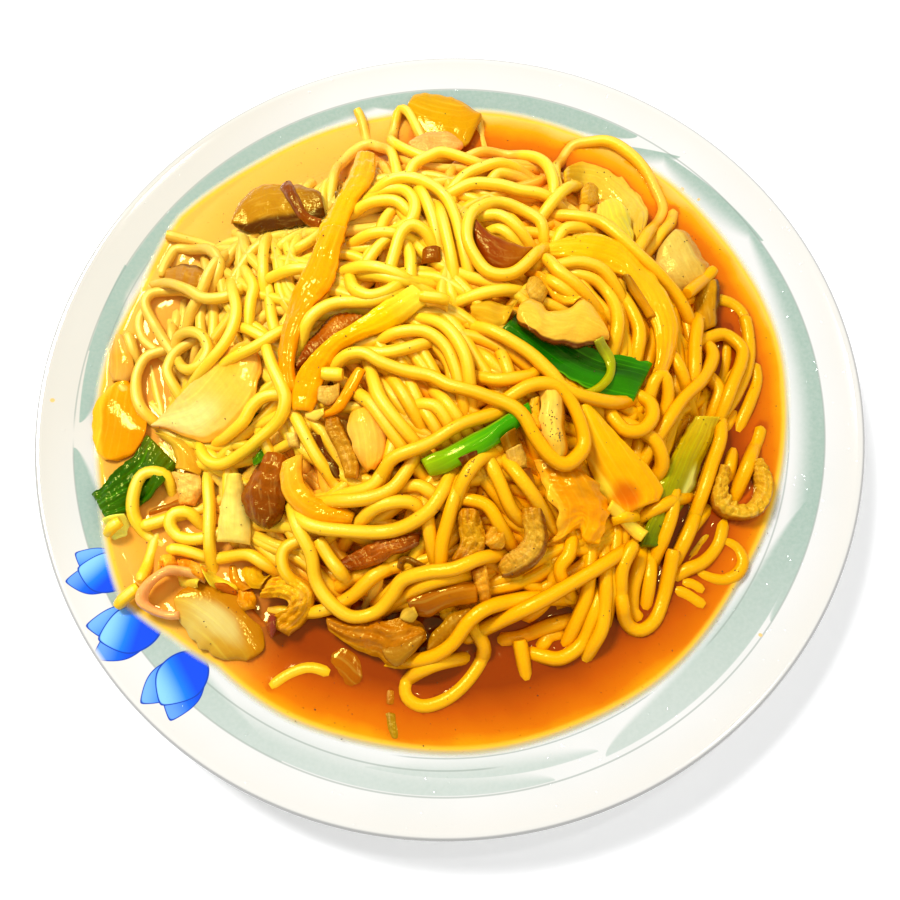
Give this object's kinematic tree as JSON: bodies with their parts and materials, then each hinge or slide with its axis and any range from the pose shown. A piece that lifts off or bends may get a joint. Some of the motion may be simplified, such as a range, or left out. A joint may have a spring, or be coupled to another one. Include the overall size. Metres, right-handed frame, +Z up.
{
  "type": "pork chow mein on a plate",
  "caption": "Round plate holding a heap of yellow noodles in brown sauce, topped with pork, mushroom, onion, cabbage and greens.",
  "frame": {"origin": "middle of the foot ring's underside, where the plate stands", "axes": "+Z up, -Y towards the eater, +X to the eater's right"},
  "size_m": [0.27, 0.27, 0.053],
  "materials": {
    "plate": "glossy off-white glaze with a grey-green band",
    "sauce": "thick glossy brown-orange sauce",
    "noodles": "wet yellow egg noodles",
    "leaf": "wet dark green leaf",
    "scallion": "pale to bright green stalk, wet",
    "onion": "soft translucent golden onion",
    "cabbage": "soft pale cabbage, sauce-stained",
    "mushroom": "brown cap skin with cream flesh, wet",
    "pork": "cooked pale pork with sauce on it"
  },
  "bodies": {
    "root": {"plate": "plate", "sauce": "sauce", "noodles": "noodles", "leaf_long": "leaf", "leaf_left": "leaf", "scallion_tube": "scallion", "scallion_stalk": "scallion", "scallion_wedge": "scallion", "cabbage_speckled": "cabbage", "cabbage_stem": "cabbage", "cabbage_fan": "cabbage", "onion_petal_right": "onion", "onion_petal_big": "onion", "onion_petal_low": "onion", "onion_left_low": "onion", "onion_left_high": "onion", "onion_top": "onion", "onion_low": "onion", "onion_pale": "onion", "onion_curve": "onion", "onion_strip_a": "onion", "onion_strip_b": "onion", "onion_strip_c": "onion", "onion_strip_d": "onion", "onion_strip_right": "onion", "onion_ring": "onion", "mushroom_upper_left": "mushroom", "mushroom_slice_left": "mushroom", "mushroom_loop": "mushroom", "mushroom_stem": "mushroom", "mushroom_right": "mushroom", "mushroom_gilled": "mushroom", "mushroom_oval": "mushroom", "mushroom_low": "mushroom", "mushroom_small": "mushroom", "mushroom_front": "mushroom", "pork_hook": "pork", "pork_chunk_a": "pork", "pork_chunk_b": "pork", "pork_chunk_c": "pork", "pork_left": "pork", "pork_top": "pork", "pork_folded": "pork", "pork_flat": "pork", "pork_strand": "pork", "pork_curl": "pork"}
  },
  "joints": []
}
